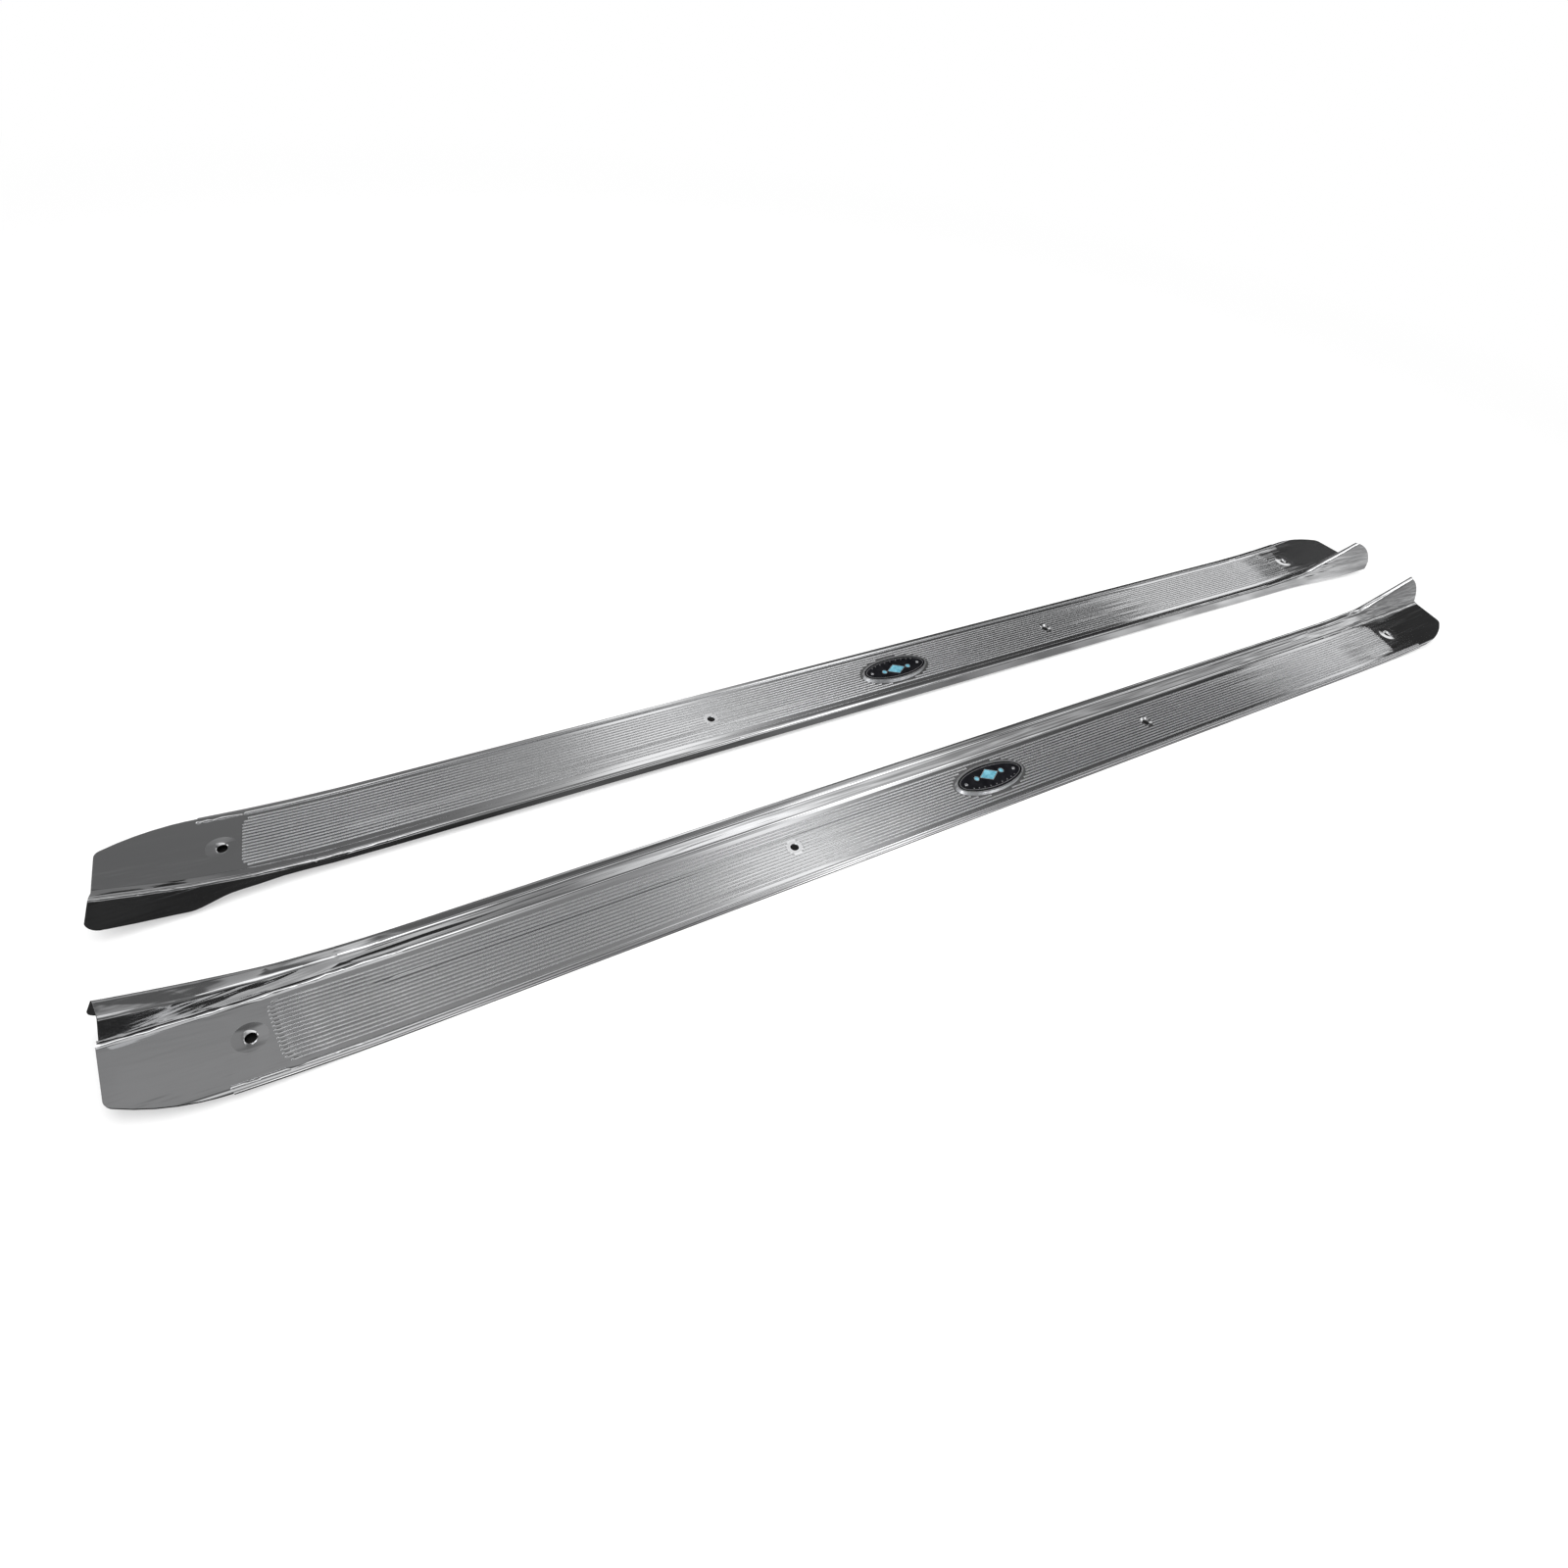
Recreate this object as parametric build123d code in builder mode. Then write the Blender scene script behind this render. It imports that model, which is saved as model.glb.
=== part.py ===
from build123d import *
import os
from math import asin, cos, radians, sin, sqrt

# A mirrored pair of bright door sill plates. X runs along the door opening, Y across it, Z up.
# The origin lies on the front plate's underside, midway between its two middle screw holes.
# "Across" distances are measured from the front plate's row of screw holes, positive towards its
# flange. "Rise" heights are measured up from the face of the tread. Every piece of the front plate
# is drawn first, and the back plate is its mirror image.

# ---- driving dimensions (mm) ----
row_gap = 118.0                     # between the two rows of screw holes
sheet_thickness = 1.2

middle_hole_x = 305.0 / 2
end_hole_x = (-442.0, 463.0)
hole_x = (end_hole_x[0], -middle_hole_x, middle_hole_x, end_hole_x[1])
hole_radius = 2.7                   # clears a number 8 trim screw
countersink_radius = 4.6
countersink_depth = 0.7
dish_radius = 7.6                   # shallow dish round each end hole
dish_depth = 0.3

tread_edge = -25.0                  # outer long edge of the tread, across
tongue_edge = -24.4                 # the same edge on the plain tongue at each end
bead_across = -21.9
bead_radius = 1.1
bead_start = -451.0
bead_end = 475.0

left_bend_x = -370.0                # where the tread starts to curve up at each end
left_bend_radius = 760.0
right_bend_x = 386.0
right_bend_radius = 1100.0

rib_count = 16
rib_pitch = 2.2
rib_radius = 0.6
rib_sink = 0.1                      # depth of a rib's centre below the tread's face
rib_end_radius = 0.85
rib_end_sink = 0.3
field_centre = -1.2                 # middle of the ribbed field, across
field_start = -431.8                # ends of the field on its middle line
field_end = 450.0
field_start_slant = -0.12           # lengthways drift of each end, per millimetre across
field_end_slant = 0.2
field_corner = 6.0
field_hole_clearance = 5.6

badge_seat_depth = 0.15             # oval seat that locates the badge in the tread
badge_seat_gap = 0.1
badge_half_length = 28.0
badge_half_width = 11.5
badge_clear_length = 31.0           # half axes of the smooth oval round the badge
badge_clear_width = 14.0
badge_floor = 0.8                   # heights above the seat
enamel_height = 1.25
badge_height = 1.6
badge_rim_width = 1.2
inner_ring_inset = 2.7
inner_ring_width = 0.35
lozenge_half_length = 7.4           # plain geometric motif
lozenge_half_width = 4.7
lozenge_across = 1.6
disc_radius = 1.6
disc_x = 10.6
motif_border = 0.45
pip_radius = 0.45
pip_angles = range(222, 319, 12)    # round the badge, on the side away from the flange
pip_inset = 4.3
rivet_x = 20.5
rivet_shank_radius = 0.75
rivet_hole_radius = 0.8
rivet_head_radius = 1.3
rivet_head_height = 0.8

left_tip_x = -498.0
left_tip_lean = 2.0                 # the tip's outer corner stands this much nearer the middle
left_tongue_arc = 92.0              # radii of the tongues' curved outer edges
left_tongue_corner = 5.0
right_tip_x = 523.5
right_tongue_arc = 60.0
right_tongue_arc_x = 484.0
right_tongue_corner = 8.0
right_notch_x = 527.0
relief_radius = 1.2                 # corner relief where tongue and flange part

crease_radius = 3.2                 # bend radii of the flange, on the upper face
wall_radius = 2.6
ridge_radius = 1.9
flange_start_across = 18.6          # where the end cuts separate the flange from the tongues
beyond_flange = 45.0                # clear of the flange's outermost edge, across
cutter_height = 60.0                # taller than the plates

# Ends of the flange in side view: x and height above the floor.
hook_crown = (-482.0, 45.0)         # left end: its slanted edge, from the top down to the floor
hook_base = (-501.8, 0.0)
hook_side = (-497.6, 15.5)          # left end: rounded lower corner of the outer wall alone
hook_corner = (-496.2, 11.2)
hook_foot = (-491.6, 9.0)
hook_corner_across = 28.0
hook_end_drift = -0.28              # both ends run diagonally: lengthways drift per mm across
fin_foot = (520.0, 2.0)             # right end, from the bottom up round its shoulder
fin_heel = (522.8, 5.0)
fin_side = (524.0, 9.0)
fin_side_top = (524.0, 13.0)
fin_shoulder = (516.5, 24.8)
fin_crown = (498.0, 34.4)
fin_back = (470.0, 44.0)
fin_end_drift = 0.76

tread_top = sheet_thickness
mirror_plane = Plane((0, row_gap / 2, 0), z_dir=(0, 1, 0))

# ---- design lines of the flange: x, then across and rise of each corner of the section ----
crease_line = [(-502, 17.8), (-450, 19.2), (-400, 20.4), (400, 20.4), (450, 19.8), (545, 17.4)]
wall_line = [
    (-502, 22.0, 15.0),
    (-460, 23.4, 9.0),
    (-400, 25.0, 7.0),
    (400, 25.8, 8.0),
    (450, 26.2, 9.4),
    (510, 27.6, 23.6),
    (545, 28.4, 31.0),
]
ridge_line = [
    (-502, 30.8, 18.2),
    (-430, 30.6, 9.2),
    (-390, 30.6, 8.0),
    (400, 31.0, 9.2),
    (450, 30.8, 10.8),
    (510, 30.8, 25.8),
    (545, 31.6, 34.4),
]
hem_line = [
    (-502, 35.6, -2.4),
    (-458, 35.2, -3.2),
    (-440, 33.2, 1.6),
    (-415, 31.8, 3.4),
    (-200, 31.4, 2.0),
    (300, 31.9, 0.2),
    (430, 32.9, -0.8),
    (450, 33.8, -1.6),
    (510, 38.0, -5.0),
    (545, 40.0, -7.0),
]
end_stations = [-502, -490, -478, -466, -458, -450, -440, -430, -415, -400, -380]
middle_stations = [-340, -280, -200, -100, 0, 100, 200, 280, 340, 370]
fin_stations = [400, 420, 435, 450, 465, 480, 495, 510, 525, 545]


def rise(x):
    """Height by which the tread has curved up above its flat middle."""
    if x < left_bend_x:
        return left_bend_radius - sqrt(left_bend_radius**2 - (left_bend_x - x) ** 2)
    if x > right_bend_x:
        return right_bend_radius - sqrt(right_bend_radius**2 - (x - right_bend_x) ** 2)
    return 0.0


def along(line, x):
    """Values of a design line at x, on straight lines between its points."""
    for (x0, *start), (x1, *end) in zip(line, line[1:]):
        if x <= x1:
            share = (x - x0) / (x1 - x0)
            return tuple(a + share * (b - a) for a, b in zip(start, end))


def sheet_section(x):
    """Closed cross-section of the bent sheet at one station."""
    station = Plane((x, 0, tread_top + rise(x)), x_dir=(0, 1, 0), z_dir=(1, 0, 0))
    corners = [
        (tread_edge, 0),
        (along(crease_line, x)[0], 0),
        along(wall_line, x),
        along(ridge_line, x),
        along(hem_line, x),
    ]
    with BuildSketch(station) as section:
        with BuildLine():
            FilletPolyline(*corners, radius=[crease_radius, wall_radius, ridge_radius])
            offset(amount=sheet_thickness, side=Side.RIGHT)
        make_face()
    return section.sketch.face()


def tread_path(across, start, end, sink=0.0):
    """Line that follows the tread lengthways at one distance across."""
    side_view = Plane((0, across, tread_top - sink), x_dir=(1, 0, 0), z_dir=(0, -1, 0))
    flat_start = min(max(start, left_bend_x), end)
    flat_end = max(min(end, right_bend_x), start)
    with BuildLine(side_view) as path:
        if start < flat_start:
            middle = (start + flat_start) / 2
            ThreePointArc((start, rise(start)), (middle, rise(middle)), (flat_start, 0))
        if flat_start < flat_end:
            Line((flat_start, 0), (flat_end, 0))
        if flat_end < end:
            middle = (flat_end + end) / 2
            ThreePointArc((flat_end, 0), (middle, rise(middle)), (end, rise(end)))
    return path.wire()


def round_bar(across, start, end, radius, sink=0.0):
    """Round bar let into the tread lengthways, so that its top stands up as a rib."""
    path = tread_path(across, start, end, sink)
    with BuildPart() as bar:
        with BuildSketch(Plane(path @ 0, x_dir=(0, 1, 0), z_dir=path % 0)):
            Circle(radius)
        sweep(path=path)
    return bar.part


def round_end(x, across, radius, sink=0.0):
    """Ball that finishes the end of a rib or of the bead."""
    return Pos(x, across, tread_top + rise(x) - sink) * Sphere(radius)


def rib_spans(across):
    """Lengths that one rib runs: the field, less the badge's oval and the middle screw holes."""
    from_middle = across - field_centre
    into_corner = max(field_corner - (rib_count * rib_pitch / 2 - abs(from_middle)), 0)
    inset = field_corner - sqrt(field_corner**2 - into_corner**2)
    starts = [field_start + field_start_slant * from_middle + inset]
    ends = []
    if abs(across) < field_hole_clearance:
        half = sqrt(field_hole_clearance**2 - across**2)
        ends.append(-middle_hole_x - half)
        starts.append(-middle_hole_x + half)
    if abs(across) < badge_clear_width:
        half = badge_clear_length * sqrt(1 - (across / badge_clear_width) ** 2)
        ends.append(-half)
        starts.append(half)
    if abs(across) < field_hole_clearance:
        half = sqrt(field_hole_clearance**2 - across**2)
        ends.append(middle_hole_x - half)
        starts.append(middle_hole_x + half)
    ends.append(field_end + field_end_slant * from_middle - inset)
    return list(zip(starts, ends))


def all_ribs():
    """Every rib of the tread, with the raised ball at each of its ends."""
    pieces = []
    for index in range(rib_count):
        across = field_centre + (index - (rib_count - 1) / 2) * rib_pitch
        for start, end in rib_spans(across):
            pieces.append(round_bar(across, start, end, rib_radius, rib_sink))
            for x in (start, end):
                pieces.append(round_end(x, across, rib_end_radius, rib_end_sink))
    return pieces


def outer_bead():
    """Raised bead along the tread's outer edge, with ball ends."""
    ends = [round_end(x, bead_across, bead_radius) for x in (bead_start, bead_end)]
    return [round_bar(bead_across, bead_start, bead_end, bead_radius)] + ends


def arc_edge(flat_x, radius, x):
    """Across position of a tongue's curved outer edge at x."""
    return tongue_edge + radius - sqrt(radius**2 - (x - flat_x) ** 2)


def plan_block():
    """Tall block with the plate's outline in plan: curved tongue edges and rounded corners."""
    left_corner_x = left_tip_x + left_tip_lean
    left_corner = (left_corner_x, arc_edge(bead_start, left_tongue_arc, left_corner_x))
    right_corner = (right_tip_x, arc_edge(right_tongue_arc_x, right_tongue_arc, right_tip_x))
    left_middle_x = (bead_start + left_corner[0]) / 2
    right_middle_x = (right_tongue_arc_x + right_tip_x) / 2
    with BuildPart() as block:
        with BuildSketch(Plane.XY):
            with BuildLine():
                ThreePointArc(
                    left_corner,
                    (left_middle_x, arc_edge(bead_start, left_tongue_arc, left_middle_x)),
                    (bead_start, tongue_edge),
                )
                Polyline(
                    (bead_start, tongue_edge),
                    (bead_start, tread_edge),
                    (bead_end, tread_edge),
                    (bead_end, tongue_edge),
                    (right_tongue_arc_x, tongue_edge),
                )
                ThreePointArc(
                    (right_tongue_arc_x, tongue_edge),
                    (right_middle_x, arc_edge(right_tongue_arc_x, right_tongue_arc, right_middle_x)),
                    right_corner,
                )
                Polyline(
                    right_corner,
                    (right_notch_x, flange_start_across),
                    (fin_stations[-1], flange_start_across),
                    (fin_stations[-1], beyond_flange),
                    (end_stations[0], beyond_flange),
                    (end_stations[0], flange_start_across),
                    (left_tip_x, flange_start_across),
                    left_corner,
                )
            make_face()
        extrude(amount=cutter_height)
        corners = ((left_corner, left_tongue_corner), (right_corner, right_tongue_corner))
        for (x, across), radius in corners:
            upright_edges = block.edges().filter_by(Axis.Z)
            fillet(upright_edges.sort_by_distance((x, across, 0))[0], radius)
    return block.part


def side_plane(across):
    """Upright plane that runs lengthways, seen from the tread's side."""
    return Plane((0, across, 0), x_dir=(1, 0, 0), z_dir=(0, -1, 0))


def left_end_cut():
    """Everything beyond the flange's slanted left end and its outer wall's rounded lower corner."""
    outside_x = end_stations[0] - beyond_flange
    with BuildPart() as cut:
        with BuildSketch(side_plane(flange_start_across)):
            Polygon(hook_base, hook_crown, (outside_x, hook_crown[1]), (outside_x, 0), align=None)
        extrude(amount=beyond_flange, dir=(hook_end_drift, 1, 0))
        with BuildSketch(side_plane(hook_corner_across)):
            with BuildLine():
                Polyline(
                    hook_foot,
                    (hook_foot[0], 0),
                    (outside_x, 0),
                    (outside_x, hook_side[1]),
                    hook_side,
                )
                ThreePointArc(hook_side, hook_corner, hook_foot)
            make_face()
        extrude(amount=beyond_flange, dir=(hook_end_drift, 1, 0))
    return cut.part


def right_end_cut():
    """Everything beyond the fin's rounded end, which runs diagonally in plan."""
    outside_x = fin_stations[-1] + beyond_flange
    with BuildPart() as cut:
        with BuildSketch(side_plane(flange_start_across)):
            with BuildLine():
                ThreePointArc(fin_foot, fin_heel, fin_side)
                Line(fin_side, fin_side_top)
                ThreePointArc(fin_side_top, fin_shoulder, fin_crown)
                Polyline(
                    fin_crown,
                    fin_back,
                    (fin_back[0], cutter_height),
                    (outside_x, cutter_height),
                    (outside_x, 0),
                    (fin_foot[0], 0),
                    fin_foot,
                )
            make_face()
        extrude(amount=beyond_flange, dir=(fin_end_drift, 1, 0))
    return cut.part


def dish_cutter(x):
    """Shallow spherical cap, square to the tread, that sinks the face round an end hole."""
    slope = (rise(x + dish_radius) - rise(x - dish_radius)) / (2 * dish_radius)
    ball_radius = (dish_radius**2 + dish_depth**2) / (2 * dish_depth)
    half_way_drop = ball_radius - sqrt(ball_radius**2 - (dish_radius / 2) ** 2) - dish_depth
    axis_up = (-slope, 0, 1)
    across_view = Plane((x, 0, tread_top + rise(x)), x_dir=(0, 1, 0), z_dir=(1, 0, slope))
    with BuildPart() as cutter:
        with BuildSketch(across_view):
            with BuildLine():
                bottom = (0, -dish_depth)
                brim = (dish_radius, 0)
                Polyline(brim, (dish_radius, dish_depth), (0, dish_depth), bottom)
                ThreePointArc(bottom, (dish_radius / 2, half_way_drop), brim)
            make_face()
        revolve(axis=Axis((x, 0, tread_top + rise(x)), axis_up))
    return cutter.part


def badge_level(height):
    """Horizontal plane over the badge's centre, at a height above the badge's seat."""
    return Plane((0, 0, tread_top - badge_seat_depth + height))


def oval_ring(inset, width):
    """Elliptical band that follows the badge's edge, in the current sketch."""
    Ellipse(badge_half_length - inset, badge_half_width - inset)
    inner = inset + width
    Ellipse(badge_half_length - inner, badge_half_width - inner, mode=Mode.SUBTRACT)


def motif(grow=0.0, mode=Mode.ADD):
    """Plain lozenge with a disc on each side of it, in the current sketch."""
    diagonal = sqrt(lozenge_half_length**2 + lozenge_half_width**2)
    half_length = lozenge_half_length + grow * diagonal / lozenge_half_width
    half_width = lozenge_half_width + grow * diagonal / lozenge_half_length
    right = (half_length, lozenge_across)
    far = (0, lozenge_across + half_width)
    left = (-half_length, lozenge_across)
    near = (0, lozenge_across - half_width)
    Polygon(right, far, left, near, align=None, mode=mode)
    with Locations((-disc_x, lozenge_across), (disc_x, lozenge_across)):
        Circle(disc_radius + grow, mode=mode)


# ---- sill plate: bent sheet with a ribbed tread, a bead, screw holes and a flange ----
with BuildPart() as front_sill_plate:
    loft(sections=[sheet_section(x) for x in end_stations + middle_stations + fin_stations])
    add(all_ribs() + outer_bead())
    add(plan_block(), mode=Mode.INTERSECT)
    add([left_end_cut(), right_end_cut()], mode=Mode.SUBTRACT)
    with BuildSketch(Plane.XY):
        with Locations((left_tip_x, flange_start_across), (right_notch_x, flange_start_across)):
            Circle(relief_radius)
        with Locations([(x, 0) for x in hole_x]):
            Circle(hole_radius)
        with Locations((-rivet_x, 0), (rivet_x, 0)):
            Circle(rivet_hole_radius)
    extrude(amount=cutter_height, mode=Mode.SUBTRACT)
    with BuildSketch(badge_level(0)):
        Ellipse(badge_half_length + badge_seat_gap, badge_half_width + badge_seat_gap)
    extrude(amount=badge_height, mode=Mode.SUBTRACT)
    add([dish_cutter(x) for x in end_hole_x], mode=Mode.SUBTRACT)
    for x in hole_x:
        face_height = tread_top + rise(x)
        with BuildSketch(Plane((x, 0, face_height - countersink_depth))):
            Circle(hole_radius)
        with BuildSketch(Plane((x, 0, face_height))):
            Circle(countersink_radius)
        loft(mode=Mode.SUBTRACT)

# ---- badge base: bright oval dish with a rim, an inner ring, motif borders and pips ----
with BuildPart() as front_badge_base:
    with BuildSketch(badge_level(0)):
        Ellipse(badge_half_length, badge_half_width)
    extrude(amount=badge_floor)
    with BuildSketch(badge_level(badge_floor)):
        oval_ring(0, badge_rim_width)
    with BuildSketch(badge_level(badge_floor)):
        oval_ring(inner_ring_inset, inner_ring_width)
    with BuildSketch(badge_level(badge_floor)):
        motif(grow=motif_border)
        motif(mode=Mode.SUBTRACT)
        for angle in pip_angles:
            pip_x = (badge_half_length - pip_inset) * cos(radians(angle))
            pip_across = (badge_half_width - pip_inset) * sin(radians(angle))
            with Locations((pip_x, pip_across)):
                Circle(pip_radius)
    extrude(amount=badge_height - badge_floor)
    with BuildSketch(badge_level(0)):
        with Locations((-rivet_x, 0), (rivet_x, 0)):
            Circle(rivet_hole_radius)
    extrude(amount=badge_height, mode=Mode.SUBTRACT)

# ---- blue enamel: fills the lozenge and the discs ----
with BuildPart() as front_badge_blue_enamel:
    with BuildSketch(badge_level(badge_floor)):
        motif()
    extrude(amount=enamel_height - badge_floor)

# ---- black enamel: fills the rest of the dish ----
with BuildPart() as front_badge_black_enamel:
    with BuildSketch(badge_level(badge_floor)):
        Ellipse(badge_half_length - badge_rim_width, badge_half_width - badge_rim_width)
        with Locations((-rivet_x, 0), (rivet_x, 0)):
            Circle(rivet_hole_radius, mode=Mode.SUBTRACT)
    extrude(amount=enamel_height - badge_floor)
    add(front_badge_base.part, mode=Mode.SUBTRACT)
    add(front_badge_blue_enamel.part, mode=Mode.SUBTRACT)

# ---- rivets: round heads on the enamel, shanks down through badge and tread ----
with BuildPart() as front_badge_rivets:
    head_foot = tread_top - badge_seat_depth + enamel_height
    dome_radius = (rivet_head_radius**2 + rivet_head_height**2) / (2 * rivet_head_height)
    dome_centre = head_foot + rivet_head_height - dome_radius
    half_angle = asin(rivet_head_radius / dome_radius) / 2
    dome_middle = (dome_radius * sin(half_angle), dome_centre + dome_radius * cos(half_angle))
    dome_top = (0, dome_centre + dome_radius)
    for x in (-rivet_x, rivet_x):
        with BuildSketch(Plane((x, 0, 0), x_dir=(1, 0, 0), z_dir=(0, -1, 0))):
            with BuildLine():
                Polyline(
                    dome_top,
                    (0, 0),
                    (rivet_shank_radius, 0),
                    (rivet_shank_radius, head_foot),
                    (rivet_head_radius, head_foot),
                )
                ThreePointArc((rivet_head_radius, head_foot), dome_middle, dome_top)
            make_face()
        revolve(axis=Axis((x, 0, 0), (0, 0, 1)))

front_pieces = {
    "sill_plate": front_sill_plate.part,
    "badge_base": front_badge_base.part,
    "badge_black_enamel": front_badge_black_enamel.part,
    "badge_blue_enamel": front_badge_blue_enamel.part,
    "badge_rivets": front_badge_rivets.part,
}
os.makedirs("parts", exist_ok=True)
for name, piece in front_pieces.items():
    piece.label = "front_" + name
    export_step(piece, "parts/front_" + name + ".step")
    twin = mirror(piece, about=mirror_plane)
    twin.label = "back_" + name
    export_step(twin, "parts/back_" + name + ".step")
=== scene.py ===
import math

import bpy
from mathutils import Matrix, Vector


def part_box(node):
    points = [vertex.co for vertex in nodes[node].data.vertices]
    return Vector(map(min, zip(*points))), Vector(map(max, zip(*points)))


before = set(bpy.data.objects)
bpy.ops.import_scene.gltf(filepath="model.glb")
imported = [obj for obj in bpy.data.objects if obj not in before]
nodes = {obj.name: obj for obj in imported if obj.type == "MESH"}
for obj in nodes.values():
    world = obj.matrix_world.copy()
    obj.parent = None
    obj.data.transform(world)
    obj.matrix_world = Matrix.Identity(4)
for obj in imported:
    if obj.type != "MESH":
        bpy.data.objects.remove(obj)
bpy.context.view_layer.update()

# ---------------------------------------------------------------------------
# Driving values. Lengths are metres, angles degrees, colours linear RGB.
# ---------------------------------------------------------------------------
SIDES = ("front", "back")
MIRROR_PLANE = 0.059                # Y of the plane that mirrors the front plate into the back one

CAMERA_PLACE = (-0.3519, -0.2423, 0.3977)
CAMERA_TARGET = (-0.1335, 0.0481, 0.0)
CAMERA_ROLL = 11.3
CAMERA_LENS = 19.2
CAMERA_NEAREST = 0.01

# Lengthways bars of each tread, as in the CAD. "Across" is measured from the row of screw holes
# towards the flange.
TREAD_HEIGHT = 0.0012
FIELD_CENTRE = -0.0012              # the ribbed field, across and along X
FIELD_HALF_WIDTH = 0.0176
FIELD_MIDDLE_X = 0.0095
FIELD_HALF_LENGTH = 0.4440
RIB_PITCH = 0.0022
RIB_RADIUS = 0.0006
RIB_SINK = 0.0001
BEAD_ACROSS = -0.0219
BEAD_RADIUS = 0.0011
BEAD_MIDDLE_X = 0.0120
BEAD_HALF_LENGTH = 0.4640
EDGE_ROLL_RADIUS = 0.0058           # soft roll of the sheet from the bead to the outer edge
SHEARED_SHADED_OUTSIDE = 0.0024            # steep faces this far outside the bead are the sheet's sheared edge, which gets painted shade
FLAT = 0.95                         # Z part of a normal above which a face counts as flat
STEEP = 0.5                         # Z part of a normal below which a face counts as steep
LEFT_BEND_X = -0.370                # where the tread starts to curve up at each end
LEFT_BEND_RADIUS = 0.760
RIGHT_BEND_X = 0.386
RIGHT_BEND_RADIUS = 1.100
BAR_FOOT = 0.00008                  # height from which the mesh counts as a bar and not as the tread

# Polished sheet
CLEAN_SHEET = (0.90, 0.905, 0.915)
SMEARED_SHEET = (0.80, 0.805, 0.82)
WORN_SHEET = (0.55, 0.55, 0.56)
# Painted shade: the sheared outer edge is painted near black to draw a dark outline line; only its
# dullness belongs to the cut edge
SHEARED_AND_SHADED_SHEET = (0.16, 0.16, 0.165)
SHEET_ROUGHNESS = (0.035, 0.085)    # between the polishing lines and in them
SMEAR_ROUGHNESS = 0.05              # added by smears, wear, the ribs' grain and the sheared edge
WORN_ROUGHNESS = 0.12
RIB_ROUGHNESS = 0.18
SHEARED_ROUGHNESS = 0.35
WORN_SHARE = 0.25
EDGE_WEAR_RADIUS = 0.0006
LINE_DEPTH = 0.00002
LINE_STRENGTH = 0.05
WAVE_DEPTHS = (0.0002, 0.0007)      # lengthways waviness left by forming: on flat and on upright sheet
WORN_FACING = (0.995, 0.90)         # how far the rounded normal agrees with the mesh: unworn, worn

# Noise patterns. Stretch scales them along X, Y and Z: below 1 it draws them out.
POLISHING_LINES = {"scale": 260.0, "stretch": (0.02, 1.0, 1.0), "detail": 4.0, "roughness": 0.65}
SHEET_SMEARS = {"scale": 9.0, "stretch": (0.5, 1.6, 1.0), "detail": 3.0}
SHEET_WAVES = {"scale": 150.0, "stretch": (0.05, 1.0, 1.0)}
TARNISH = {"scale": 420.0, "detail": 3.0}
STAMPING_PITS = {"scale": 2600.0}
ENAMEL_CLOUDS = {"detail": 4.0, "roughness": 0.6}
ENAMEL_RIPPLE = {"scale": 700.0}
HAMMER_MARKS = {"scale": 1500.0, "detail": 3.0}
PAPER_FIBRES = {"scale": 300.0, "detail": 3.0}
MIRRORED_PATCHES = {"scale": 28.0, "stretch": (0.6, 1.5, 1.0)}

# Noise values between which a blend or a roughness runs from its first value to its second
MOST_OF_NOISE = (0.3, 0.7)
LINE_SPREAD = (0.3, 0.75)
SMEAR_SPREAD = (0.35, 0.7)
DULL_SMEAR_SPREAD = (0.45, 0.75)
TARNISH_SPREAD = (0.4, 0.7)
CLOUD_SPREAD = (0.32, 0.68)
PATCH_SPREAD = (0.35, 0.65)

# Badge and rivets
BADGE_COLOURS = ((0.86, 0.87, 0.88), (0.62, 0.63, 0.65))            # bright, tarnished
BADGE_ROUGHNESS = (0.26, 0.40)
PIT_STRENGTH = 0.12
PIT_DEPTH = 0.00004
BLACK_ENAMEL = ((0.002, 0.002, 0.003), (0.008, 0.008, 0.010))       # deep, light
BLACK_CLOUDS = 180.0                # scale of the clouds in the glass
BLACK_RIPPLE = 0.06                 # strength of the ripple in the coat
BLUE_ENAMEL = ((0.05, 0.19, 0.26), (0.18, 0.42, 0.51))
BLUE_CLOUDS = 260.0
BLUE_RIPPLE = 0.10
ENAMEL_ROUGHNESS = (0.10, 0.22)
RIPPLE_DEPTH = 0.0001
RIVET_COLOURS = ((0.72, 0.73, 0.74), (0.45, 0.46, 0.48))            # high spots, low spots
RIVET_ROUGHNESS = (0.2, 0.36)
HAMMER_STRENGTH = 0.25
HAMMER_DEPTH = 0.00005
FLAT_FACE_WEIGHT = 90               # how far large faces rule the shading of small rounds beside them

# Floor
FLOOR_SIZE = 60.0
FLOOR_FADE = (0.75, 1.6)            # distances from the middle over which the floor turns pure white
FLOOR_GLOW = 0.5                    # share of the near floor that shines white, which thins the shadows
FLOOR_COLOUR = (0.90, 0.90, 0.90)
FIBRE_SHADE = 0.985                 # factor on the floor's colour where the paper's fibres are darkest
PATCH_LEVELS = (0.6, 1.2)           # unevenness of the floor's painted reflection glow
WHITE = (1.0, 1.0, 1.0)
UNLIT_COLOUR = (0.01, 0.01, 0.01)
UNLIT_HALF_WIDTH = 0.010            # painted shade: floor hidden under each tread, painted near black where it shows through the screw holes
UNLIT_HALF_LENGTH = 0.470
FLOOR_MIRRORED = [                  # painted reflection: level the floor glows with for mirror rays over X, dark at the hooked ends
    (-0.6, 0.02),
    (-0.34, 0.03),
    (-0.12, 0.12),
    (0.1, 0.27),
    (0.22, 0.42),
    (0.32, 0.66),
    (0.46, 0.68),
    (0.6, 0.40),
    (1.0, 0.24),
]

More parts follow.
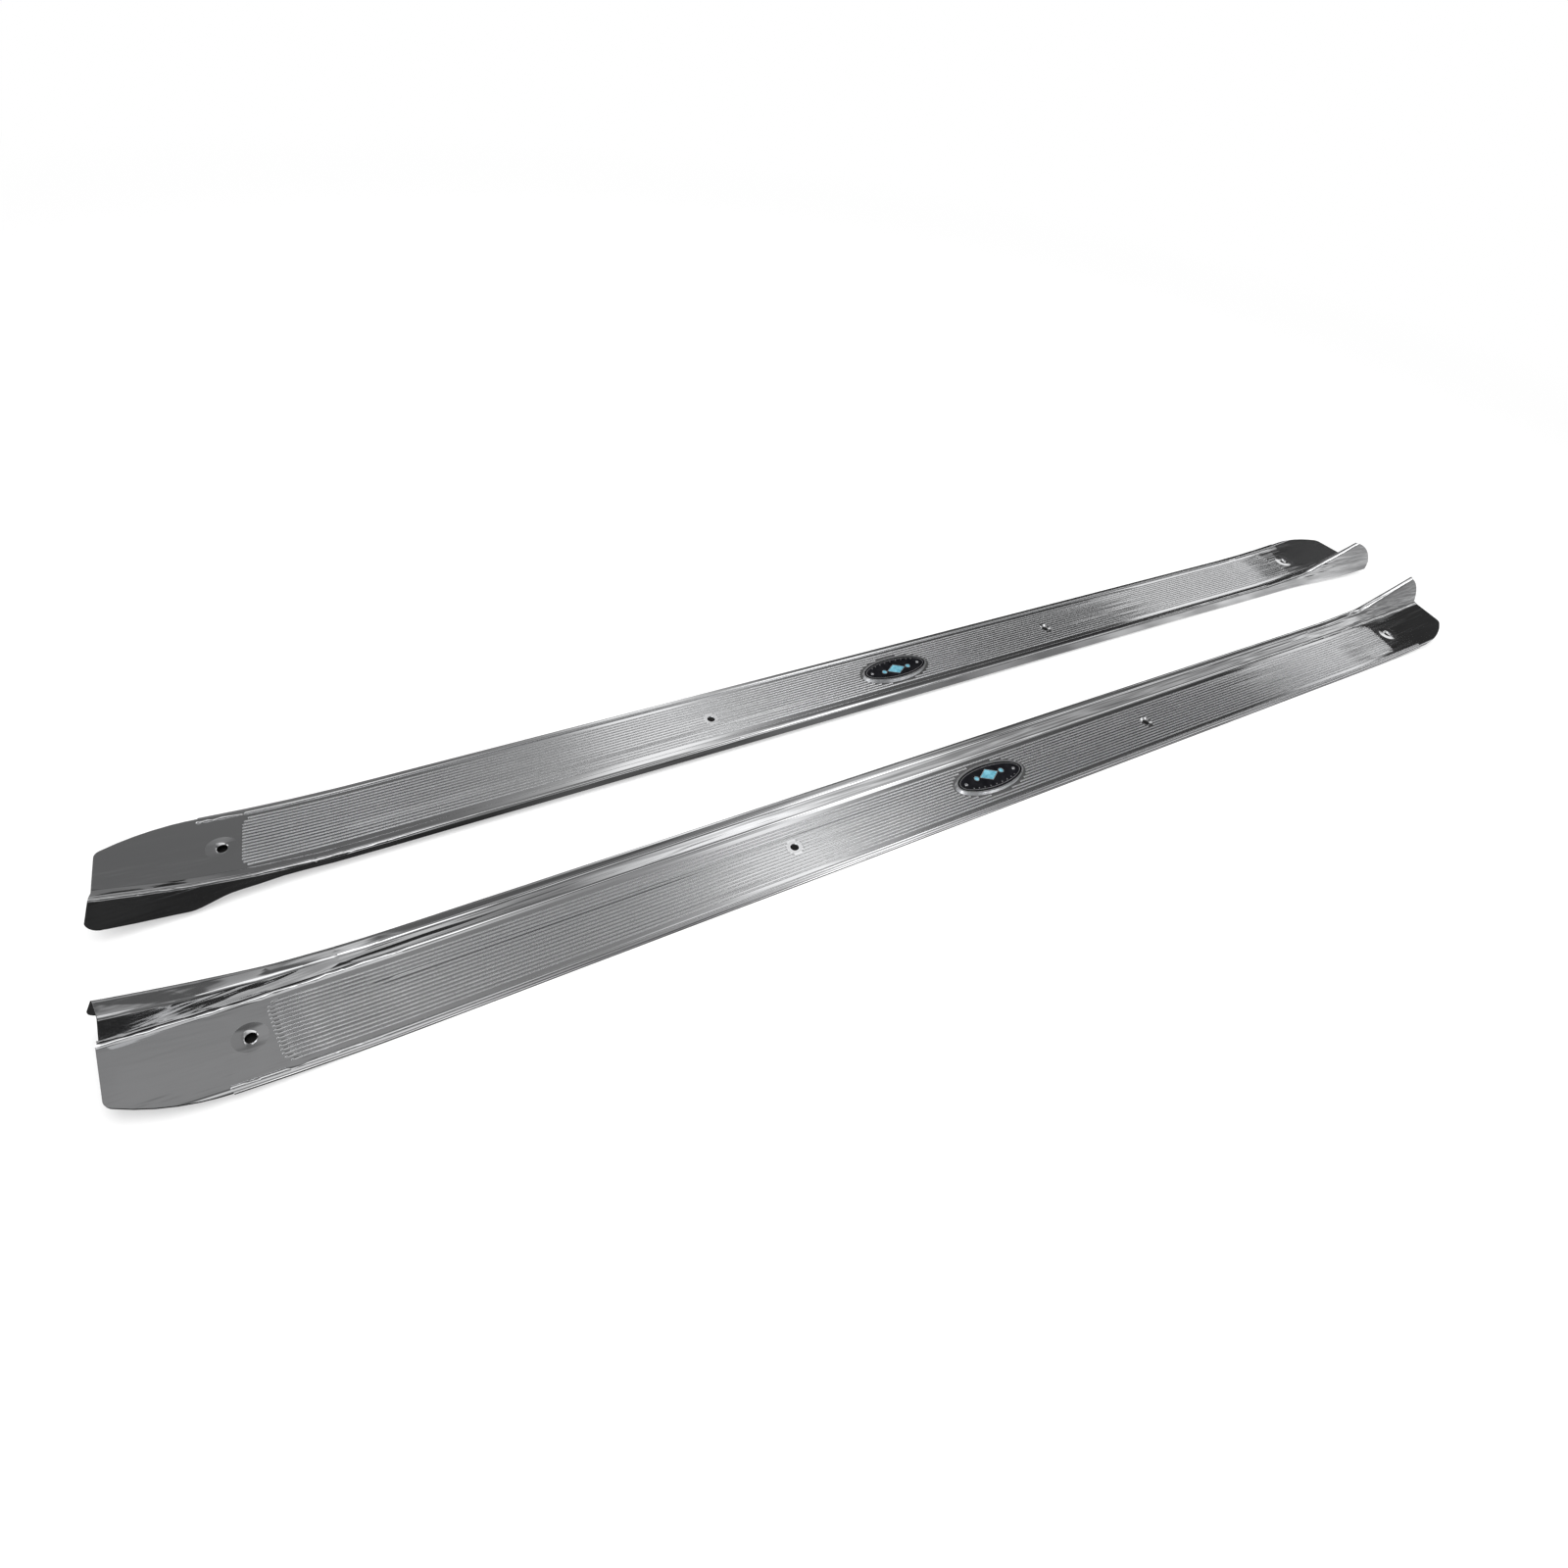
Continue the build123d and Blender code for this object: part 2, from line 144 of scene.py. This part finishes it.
# The mirrored studio. Levels are radiance, given over the X part of the mirrored direction. "Lean" is
# the angle up from the +Y horizon, over the top, to the -Y horizon: a panel at one lean runs parallel
# to the plates, so it shows in them as a lengthways line.
CEILING_LEVELS = [
    (-1.0, 0.50),
    (-0.24, 0.31),
    (-0.05, 0.25),
    (0.05, 0.21),
    (0.12, 0.21),
    (0.20, 0.25),
    (0.27, 0.40),
    (0.34, 0.92),
    (0.40, 0.98),
    (0.46, 0.45),
    (0.52, 0.20),
    (0.60, 0.11),
    (0.70, 0.07),
    (0.75, 0.055),
    (0.79, 0.035),
    (0.84, 0.03),
]
PANEL_LEVELS = [                    # factor on the ceiling over the lean
    (0.0, 0.9),
    (34.0, 1.0),
    (62.0, 1.0),
    (66.0, 0.4),
    (76.0, 0.4),
    (80.0, 1.4),
    (97.0, 1.4),
    (101.0, 0.45),
    (108.0, 0.45),
    (112.0, 1.0),
    (117.0, 3.6),
    (125.0, 3.6),
    (132.0, 0.8),
    (150.0, 0.6),
    (163.0, 0.6),
    (166.0, 1.5),
    (170.0, 1.0),
    (174.0, 0.6),
    (180.0, 1.0),
]
FRONT_LEVELS = [                    # low front wall, behind the camera
    (-0.08, 0.50),
    (0.00, 0.52),
    (0.06, 0.28),
    (0.15, 0.20),
    (0.24, 0.60),
    (0.36, 0.95),
    (0.50, 0.50),
    (0.68, 0.26),
    (0.78, 0.30),
    (0.85, 0.62),
]
CEILING_SKEW = 0.0085               # slide of the ceiling's pattern along X for each degree of lean
SQUARE_LEAN = 58.0                  # lean at which it does not slide
CEILING_SLIDE = 0.1                 # farthest it slides

# Soft-edged panels laid over the ceiling. Each limit is the pair of values between which a panel's
# edge fades; (rise, fall) pairs bound it on both sides.
LEFT_DARK = 0.13                    # dark cloth low beyond the hooked ends
LEFT_DARK_X = ((-1.0, -0.9), (0.0, 0.12))
LEFT_DARK_LEAN = ((0.0, 20.0), (50.0, 57.0))
WINDOW_LEVEL = 1.0                  # small bright window beyond the hooked ends, for the countersinks
WINDOW_X = ((-0.85, -0.75), (-0.42, -0.34))
WINDOW_LEAN = ((46.0, 50.0), (66.0, 72.0))
LOW_LEVEL = 0.90                    # bright low wall that whitens the right-hand ribs
LOW_X = (0.77, 0.84)
LOW_LEAN = ((34.0, 43.0), (88.0, 94.0))
LOW_ELEVATION = (29.3, 30.7)
RIM_LEVEL = 0.8                     # narrow panel for the far sides of the right-hand countersinks
RIM_X = (0.60, 0.68)
RIM_LEAN = ((91.0, 94.0), (99.0, 102.0))
SIDE_LEVEL = 0.26                   # even grey over the right-hand flanges
SIDE_X = (0.55, 0.70)
SIDE_LEAN = (96.0, 106.0)
FRONT_LEAN = (163.0, 166.0)
LEFT_LIFT = 1.7                     # factor on the high panels at the left
LEFT_LIFT_X = (-0.02, 0.14)
LEFT_LIFT_LEAN = ((76.0, 79.0), (138.0, 146.0))
BEHIND_LEVEL = 0.02                 # black behind the camera, at the left
BEHIND_X = (0.0, 0.14)
BEHIND_LEAN = ((144.0, 152.0), (165.0, 168.0))

OVERHEAD_PLACE = (0.0, 0.1, 1.6)
OVERHEAD_TARGET = (0.0, 0.06, 0.0)
OVERHEAD_SIZE = (1.6, 1.6)
OVERHEAD_POWER = 36.0


# ---------------------------------------------------------------------------
# Node helpers
# ---------------------------------------------------------------------------
MIX_SOCKETS = {                     # two inputs and the result of a Mix node, for each kind of value
    "RGBA": (6, 7, 2),
    "VECTOR": (4, 5, 1),
}


class Shader:
    """A node tree under construction: each method adds nodes to it and returns their result."""

    def __init__(self, tree):
        self.tree = tree
        tree.nodes.clear()

    def add(self, kind, inputs=None, **settings):
        node = self.tree.nodes.new(kind)
        for name, value in settings.items():
            setattr(node, name, value)
        for name, value in (inputs or {}).items():
            socket = node.inputs[name]
            if isinstance(value, bpy.types.NodeSocket):
                self.link(value, socket)
            elif socket.type == "RGBA":
                socket.default_value = (*value, 1.0)
            else:
                socket.default_value = value
        return node

    def link(self, source, target):
        self.tree.links.new(source, target)

    def math(self, operation, *values):
        return self.add("ShaderNodeMath", dict(enumerate(values)), operation=operation).outputs[0]

    def vector_math(self, operation, *values, result="Vector"):
        node = self.add("ShaderNodeVectorMath", dict(enumerate(values)), operation=operation)
        return node.outputs[result]

    def split(self, vector):
        """X, Y and Z parts of a vector."""
        node = self.add("ShaderNodeSeparateXYZ", {"Vector": vector})
        return [node.outputs[axis] for axis in "XYZ"]

    def curve(self, value, stops):
        """Level over a value: the stops give (value, level) and are joined by straight lines."""
        low, high = stops[0][0], stops[-1][0]
        node = self.add("ShaderNodeValToRGB", {0: self.range(value, low, high, 0.0, 1.0)})
        elements = node.color_ramp.elements
        while len(elements) < len(stops):
            elements.new(1.0)
        for element, (place, level) in zip(elements, stops):
            element.position = (place - low) / (high - low)
            element.color = (level, level, level, 1.0)
        return node.outputs["Color"]

    def range(self, value, from_low, from_high, to_low, to_high, smooth=False):
        node = self.add(
            "ShaderNodeMapRange",
            {
                "Value": value,
                "From Min": from_low,
                "From Max": from_high,
                "To Min": to_low,
                "To Max": to_high,
            },
            interpolation_type="SMOOTHSTEP" if smooth else "LINEAR",
        )
        return node.outputs["Result"]

    def between(self, value, rise, fall):
        """1 between two soft edges, each given as (start, end); 0 outside."""
        up = self.range(value, *rise, 0.0, 1.0, smooth=True)
        return self.math("MULTIPLY", up, self.range(value, *fall, 1.0, 0.0, smooth=True))

    def noise(self, vector, scale, stretch=(1.0, 1.0, 1.0), detail=2.0, roughness=0.5):
        mapping = self.add("ShaderNodeMapping", {"Vector": vector, "Scale": stretch})
        texture = self.add(
            "ShaderNodeTexNoise",
            {
                "Vector": mapping.outputs["Vector"],
                "Scale": scale,
                "Detail": detail,
                "Roughness": roughness,
            },
        )
        return texture.outputs["Fac"]

    def mix(self, factor, first, second, kind="RGBA"):
        """Blend of two colours, or of two vectors when kind is "VECTOR"."""
        first_socket, second_socket, result = MIX_SOCKETS[kind]
        inputs = {0: factor, first_socket: first, second_socket: second}
        return self.add("ShaderNodeMix", inputs, data_type=kind).outputs[result]

    def mix_surfaces(self, factor, first, second):
        node = self.add("ShaderNodeMixShader", {0: factor, 1: first, 2: second})
        return node.outputs["Shader"]

    def bump(self, **inputs):
        return self.add("ShaderNodeBump", inputs).outputs["Normal"]

    def principled(self, inputs):
        return self.add("ShaderNodeBsdfPrincipled", inputs).outputs["BSDF"]

    def finish(self, surface):
        """Make a surface shader the material's output."""
        self.add("ShaderNodeOutputMaterial", {"Surface": surface})

    def finish_principled(self, inputs):
        self.finish(self.principled(inputs))

    def finish_metal(self, colour, roughness, normal):
        self.finish_principled(
            {
                "Base Color": colour,
                "Metallic": 1.0,
                "Roughness": roughness,
                "Normal": normal,
            }
        )


def new_material(name):
    material = bpy.data.materials.new(name)
    material.use_nodes = True
    return material, Shader(material.node_tree)


# ---------------------------------------------------------------------------
# Materials
# ---------------------------------------------------------------------------
def bar_normal(s, region, offset, up, slope, normal, radius, sink):
    """Exact normal of a round bar let into the tread, wherever the mesh stands up as that bar.

    region masks the part of the tread that holds such bars. offset is the distance across from the
    bar's middle line, up the height over the tread's face, slope the tread's own slope along X, and
    sink the depth of the bar's middle below that face. The second value is a mask of the bars.
    """
    squared = s.math("SUBTRACT", radius**2, s.math("MULTIPLY", offset, offset))
    from_middle = s.math("SQRT", s.math("MAXIMUM", squared, sink**2))
    against_slope = s.math("MULTIPLY", s.math("MULTIPLY", slope, -1.0), from_middle)
    parts = {"X": against_slope, "Y": offset, "Z": from_middle}
    exact = s.vector_math("NORMALIZE", s.add("ShaderNodeCombineXYZ", parts).outputs["Vector"])
    on_bar = s.math(
        "MULTIPLY",
        s.math("GREATER_THAN", squared, sink**2),
        s.math("GREATER_THAN", up, BAR_FOOT),
    )
    on_bar = s.math("MULTIPLY", on_bar, region)
    return s.mix(on_bar, normal, exact, kind="VECTOR"), on_bar


def bars_normal(s, place):
    """Shading normal with the ribs and the bead exactly round and the outer edge softly rolled over.

    The second value is a mask of the ribs, and the third one of the sheared outer edge, where painted
    shade goes.
    """
    x, y, z = s.split(place)
    into_left = s.math("MAXIMUM", s.math("SUBTRACT", LEFT_BEND_X, x), 0.0)
    into_right = s.math("MAXIMUM", s.math("SUBTRACT", x, RIGHT_BEND_X), 0.0)
    left_slope = s.math("DIVIDE", into_left, LEFT_BEND_RADIUS)
    right_slope = s.math("DIVIDE", into_right, RIGHT_BEND_RADIUS)
    left_rise = s.math("MULTIPLY", s.math("MULTIPLY", into_left, left_slope), 0.5)
    right_rise = s.math("MULTIPLY", s.math("MULTIPLY", into_right, right_slope), 0.5)
    up = s.math("SUBTRACT", s.math("SUBTRACT", z, TREAD_HEIGHT), s.math("ADD", left_rise, right_rise))
    slope = s.math("SUBTRACT", right_slope, left_slope)

    from_mirror = s.math("SUBTRACT", MIRROR_PLANE, y)
    side = s.math("SIGN", from_mirror)
    across = s.math("SUBTRACT", MIRROR_PLANE, s.math("ABSOLUTE", from_mirror))
    from_bead = s.math("MULTIPLY", s.math("SUBTRACT", across, BEAD_ACROSS), side)
    in_pitch = s.math("WRAP", s.math("SUBTRACT", across, FIELD_CENTRE), RIB_PITCH, 0.0)
    from_rib = s.math("MULTIPLY", s.math("SUBTRACT", in_pitch, RIB_PITCH / 2), side)

    outside_bead = s.math("MAXIMUM", s.math("SUBTRACT", BEAD_ACROSS, across), 0.0)
    outward = s.math("MULTIPLY", s.math("DIVIDE", outside_bead, -EDGE_ROLL_RADIUS), side)
    lean_out = s.add("ShaderNodeCombineXYZ", {"Y": outward}).outputs["Vector"]
    mesh_normal = s.add("ShaderNodeNewGeometry").outputs["Normal"]
    normal = s.vector_math("NORMALIZE", s.vector_math("ADD", mesh_normal, lean_out))
    sheared_shaded_edge = s.math(
        "MULTIPLY",
        s.math("GREATER_THAN", outside_bead, SHEARED_SHADED_OUTSIDE),
        s.math("LESS_THAN", s.split(mesh_normal)[2], STEEP),
    )

    beside_bead = s.math("COMPARE", x, BEAD_MIDDLE_X, BEAD_HALF_LENGTH)
    in_field = s.math(
        "MULTIPLY",
        s.math("COMPARE", x, FIELD_MIDDLE_X, FIELD_HALF_LENGTH),
        s.math("COMPARE", across, FIELD_CENTRE, FIELD_HALF_WIDTH),
    )
    normal, _ = bar_normal(s, beside_bead, from_bead, up, slope, normal, BEAD_RADIUS, 0.0)
    normal, on_rib = bar_normal(s, in_field, from_rib, up, slope, normal, RIB_RADIUS, RIB_SINK)
    return normal, on_rib, sheared_shaded_edge


def polished_sheet():
    """Bright polished sheet: lengthways polishing lines, smears, fine wear and a dull sheared edge
    painted dark as painted shade.
    """
    material, s = new_material("polished_sheet")
    place = s.add("ShaderNodeTexCoord").outputs["Object"]
    mesh_normal = s.add("ShaderNodeNewGeometry").outputs["Normal"]
    normal, on_rib, sheared_shaded_edge = bars_normal(s, place)
    lines = s.noise(place, **POLISHING_LINES)
    smears = s.noise(place, **SHEET_SMEARS)
    waves = s.noise(place, **SHEET_WAVES)
    rounded = s.add("ShaderNodeBevel", {"Radius": EDGE_WEAR_RADIUS}, samples=4).outputs["Normal"]
    facing = s.vector_math("DOT_PRODUCT", rounded, mesh_normal, result="Value")
    worn = s.range(facing, *WORN_FACING, 0.0, 1.0)

    colour = s.mix(s.range(smears, *SMEAR_SPREAD, 0.0, 1.0), CLEAN_SHEET, SMEARED_SHEET)
    colour = s.mix(s.math("MULTIPLY", worn, WORN_SHARE), colour, WORN_SHEET)
    # Painted shade: the sheared outer edge is painted dark, giving the plate a dark outline
    colour = s.mix(sheared_shaded_edge, colour, SHEARED_AND_SHADED_SHEET)

    roughness = s.math(
        "ADD",
        s.range(lines, *LINE_SPREAD, *SHEET_ROUGHNESS),
        s.range(smears, *DULL_SMEAR_SPREAD, 0.0, SMEAR_ROUGHNESS),
    )
    for mask, extra in (
        (worn, WORN_ROUGHNESS),
        (on_rib, RIB_ROUGHNESS),
        (sheared_shaded_edge, SHEARED_ROUGHNESS),
    ):
        roughness = s.math("ADD", roughness, s.math("MULTIPLY", mask, extra))

    wave_depth = s.range(s.split(mesh_normal)[2], FLAT, STEEP, *WAVE_DEPTHS)
    wavy = s.bump(Distance=wave_depth, Height=waves, Normal=normal)
    grained = s.bump(Strength=LINE_STRENGTH, Distance=LINE_DEPTH, Height=lines, Normal=wavy)
    s.finish_metal(colour, roughness, grained)
    return material


def badge_metal():
    """Bright plated stamping, slightly uneven, with darker tarnish in patches."""
    material, s = new_material("badge_metal")
    place = s.add("ShaderNodeTexCoord").outputs["Object"]
    patches = s.noise(place, **TARNISH)
    pits = s.noise(place, **STAMPING_PITS)
    colour = s.mix(s.range(patches, *TARNISH_SPREAD, 0.0, 1.0), *BADGE_COLOURS)
    roughness = s.range(patches, *MOST_OF_NOISE, *BADGE_ROUGHNESS)
    pitted = s.bump(Strength=PIT_STRENGTH, Distance=PIT_DEPTH, Height=pits)
    s.finish_metal(colour, roughness, pitted)
    return material


def enamel(name, colours, cloud_scale, ripple_strength):
    """Fused glass enamel: deep and light clouds of a colour under a glossy, faintly rippled coat."""
    material, s = new_material(name)
    place = s.add("ShaderNodeTexCoord").outputs["Object"]
    clouds = s.noise(place, cloud_scale, **ENAMEL_CLOUDS)
    ripple = s.noise(place, **ENAMEL_RIPPLE)
    s.finish_principled(
        {
            "Base Color": s.mix(s.range(clouds, *CLOUD_SPREAD, 0.0, 1.0), *colours),
            "Roughness": s.range(clouds, *MOST_OF_NOISE, *ENAMEL_ROUGHNESS),
            "Specular IOR Level": 0.2,
            "Coat Weight": 0.12,
            "Coat Roughness": 0.05,
            "Normal": s.bump(Strength=ripple_strength, Distance=RIPPLE_DEPTH, Height=ripple),
        }
    )
    return material


def rivet_metal():
    """Satin rivet metal with the fine hammer marks of setting."""
    material, s = new_material("rivet_metal")
    place = s.add("ShaderNodeTexCoord").outputs["Object"]
    marks = s.noise(place, **HAMMER_MARKS)
    colour = s.mix(marks, *RIVET_COLOURS)
    roughness = s.range(marks, *MOST_OF_NOISE, *RIVET_ROUGHNESS)
    hammered = s.bump(Strength=HAMMER_STRENGTH, Distance=HAMMER_DEPTH, Height=marks)
    s.finish_metal(colour, roughness, hammered)
    return material


def dress(materials):
    """Give each piece of both plates its material and even shading of its large faces."""
    for side in SIDES:
        for part, material in materials.items():
            node = nodes[f"{side}_{part}"]
            node.data.materials.clear()
            node.data.materials.append(material)
            shading = node.modifiers.new("even_shading", "WEIGHTED_NORMAL")
            shading.weight = FLAT_FACE_WEIGHT


# ---------------------------------------------------------------------------
# Floor, light and the studio that the bright metal mirrors
# ---------------------------------------------------------------------------
def hidden_floor(s, x, y):
    """Mask of the floor under both treads, between their end holes, where shade is painted."""
    masks = []
    for side in SIDES:
        badge_low, badge_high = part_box(f"{side}_badge_base")
        from_row = s.math("ABSOLUTE", s.math("SUBTRACT", y, (badge_low.y + badge_high.y) / 2))
        masks.append(s.math("LESS_THAN", from_row, UNLIT_HALF_WIDTH))
    between_ends = s.math("LESS_THAN", s.math("ABSOLUTE", x), UNLIT_HALF_LENGTH)
    return s.math("MULTIPLY", s.math("MAXIMUM", *masks), between_ends)


def floor_paper():
    """Pale paper, white far off. To mirror rays it glows as a painted reflection, darker at the hooked
    ends, like a dark cloth.
    """
    material, s = new_material("floor_paper")
    place = s.add("ShaderNodeTexCoord").outputs["Object"]
    x, y, _ = s.split(place)
    painted_shade_under_treads = hidden_floor(s, x, y)

    fibres = s.noise(place, **PAPER_FIBRES)
    colour = s.mix(fibres, FLOOR_COLOUR, tuple(c * FIBRE_SHADE for c in FLOOR_COLOUR))
    # Painted shade: the floor under the treads is near black and gets no white glow, so the screw holes
    # look dark
    colour = s.mix(painted_shade_under_treads, colour, UNLIT_COLOUR)
    paper = s.principled({"Base Color": colour, "Roughness": 0.9, "Specular IOR Level": 0.1})
    white = s.add("ShaderNodeEmission", {"Color": WHITE}).outputs["Emission"]
    distance = s.vector_math("LENGTH", place, result="Value")
    glow = s.range(distance, *FLOOR_FADE, FLOOR_GLOW, 1.0, smooth=True)
    seen = s.mix_surfaces(s.math("MULTIPLY", glow, s.math("SUBTRACT", 1.0, painted_shade_under_treads)), paper, white)

    # Painted reflection: mirror rays see the floor glow at these levels instead of the paper
    patches = s.range(s.noise(place, **MIRRORED_PATCHES), *PATCH_SPREAD, *PATCH_LEVELS)
    mirrored_level = s.math("MULTIPLY", s.curve(x, FLOOR_MIRRORED), patches)
    mirrored = s.add("ShaderNodeEmission", {"Color": mirrored_level}).outputs["Emission"]
    is_mirror_ray = s.add("ShaderNodeLightPath").outputs["Is Glossy Ray"]
    s.finish(s.mix_surfaces(is_mirror_ray, seen, mirrored))
    return material


def make_floor():
    mesh = bpy.data.meshes.new("floor")
    half = FLOOR_SIZE / 2
    corners = [(-half, -half, 0), (half, -half, 0), (half, half, 0), (-half, half, 0)]
    mesh.from_pydata(corners, [], [(0, 1, 2, 3)])
    mesh.materials.append(floor_paper())
    floor = bpy.data.objects.new("floor", mesh)
    bpy.context.scene.collection.objects.link(floor)


def studio_light(s, direction):
    """Radiance that the bright metal mirrors from one direction."""
    x, y, z = s.split(direction)
    elevation = s.math("DEGREES", s.math("ARCSINE", z))
    lean = s.math("DEGREES", s.math("ARCTAN2", z, y))
    slide = s.math("MULTIPLY", s.math("SUBTRACT", SQUARE_LEAN, lean), CEILING_SKEW)
    slide = s.math("MAXIMUM", s.math("MINIMUM", slide, CEILING_SLIDE), -CEILING_SLIDE)
    ceiling = s.curve(s.math("ADD", x, slide), CEILING_LEVELS)

    left_dark = s.math("MULTIPLY", s.between(x, *LEFT_DARK_X), s.between(lean, *LEFT_DARK_LEAN))
    window = s.math("MULTIPLY", s.between(x, *WINDOW_X), s.between(lean, *WINDOW_LEAN))
    beside = s.math("ADD", x, s.math("MAXIMUM", slide, 0.0))
    low = s.math("MULTIPLY", s.range(beside, *LOW_X, 0.0, 1.0), s.between(lean, *LOW_LEAN))
    low = s.math("MULTIPLY", low, s.range(elevation, *LOW_ELEVATION, 1.0, 0.0, smooth=True))
    rim = s.math("MULTIPLY", s.range(x, *RIM_X, 0.0, 1.0, smooth=True), s.between(lean, *RIM_LEAN))
    side_lean = s.range(lean, *SIDE_LEAN, 0.0, 1.0)
    side = s.math("MULTIPLY", s.range(x, *SIDE_X, 0.0, 1.0, smooth=True), side_lean)
    for mask, level in (
        (left_dark, LEFT_DARK),
        (window, WINDOW_LEVEL),
        (low, LOW_LEVEL),
        (rim, RIM_LEVEL),
        (side, SIDE_LEVEL),
    ):
        ceiling = s.mix(mask, ceiling, (level,) * 3)
    front = s.range(lean, *FRONT_LEAN, 0.0, 1.0, smooth=True)
    ceiling = s.mix(front, ceiling, s.curve(x, FRONT_LEVELS))

    left_high = s.math("MULTIPLY", s.range(x, *LEFT_LIFT_X, 1.0, 0.0), s.between(lean, *LEFT_LIFT_LEAN))
    lift = s.range(left_high, 0.0, 1.0, 1.0, LEFT_LIFT)
    panels = s.math("MULTIPLY", s.curve(lean, PANEL_LEVELS), lift)
    sky = s.vector_math("MULTIPLY", ceiling, panels)
    behind = s.math("MULTIPLY", s.between(lean, *BEHIND_LEAN), s.range(x, *BEHIND_X, 1.0, 0.0))
    return s.mix(behind, sky, (BEHIND_LEVEL,) * 3)


def make_world():
    """Studio world: plain white to the camera, and the mirrored studio to the metal."""
    world = bpy.data.worlds.new("studio")
    bpy.context.scene.world = world
    world.use_nodes = True
    s = Shader(world.node_tree)
    light = studio_light(s, s.add("ShaderNodeTexCoord").outputs["Generated"])
    colour = s.mix(s.add("ShaderNodeLightPath").outputs["Is Camera Ray"], light, WHITE)
    background = s.add("ShaderNodeBackground", {"Color": colour, "Strength": 1.0})
    s.link(background.outputs["Background"], s.add("ShaderNodeOutputWorld").inputs["Surface"])


def aim(place, target):
    """Rotation of a camera or light at place that makes it look at target."""
    return (Vector(target) - Vector(place)).to_track_quat("-Z", "Y")


def make_overhead_light():
    """Soft light from above that the metal doesn't mirror."""
    data = bpy.data.lights.new("overhead", "AREA")
    data.shape = "RECTANGLE"
    data.size, data.size_y = OVERHEAD_SIZE
    data.energy = OVERHEAD_POWER
    light = bpy.data.objects.new("overhead", data)
    light.location = OVERHEAD_PLACE
    light.rotation_euler = aim(OVERHEAD_PLACE, OVERHEAD_TARGET).to_euler()
    light.visible_glossy = False
    bpy.context.scene.collection.objects.link(light)


def make_camera():
    data = bpy.data.cameras.new("camera")
    data.lens = CAMERA_LENS
    data.clip_start = CAMERA_NEAREST
    camera = bpy.data.objects.new("camera", data)
    bpy.context.scene.collection.objects.link(camera)
    roll = Matrix.Rotation(math.radians(CAMERA_ROLL), 4, "Z")
    look = aim(CAMERA_PLACE, CAMERA_TARGET).to_matrix().to_4x4()
    camera.matrix_world = Matrix.Translation(CAMERA_PLACE) @ look @ roll
    bpy.context.scene.camera = camera


# ---------------------------------------------------------------------------
# The scene
# ---------------------------------------------------------------------------
dress(
    {
        "sill_plate": polished_sheet(),
        "badge_base": badge_metal(),
        "badge_black_enamel": enamel("black_enamel", BLACK_ENAMEL, BLACK_CLOUDS, BLACK_RIPPLE),
        "badge_blue_enamel": enamel("blue_enamel", BLUE_ENAMEL, BLUE_CLOUDS, BLUE_RIPPLE),
        "badge_rivets": rivet_metal(),
    }
)
make_floor()
make_world()
make_overhead_light()
make_camera()
bpy.context.scene.view_settings.view_transform = "Standard"
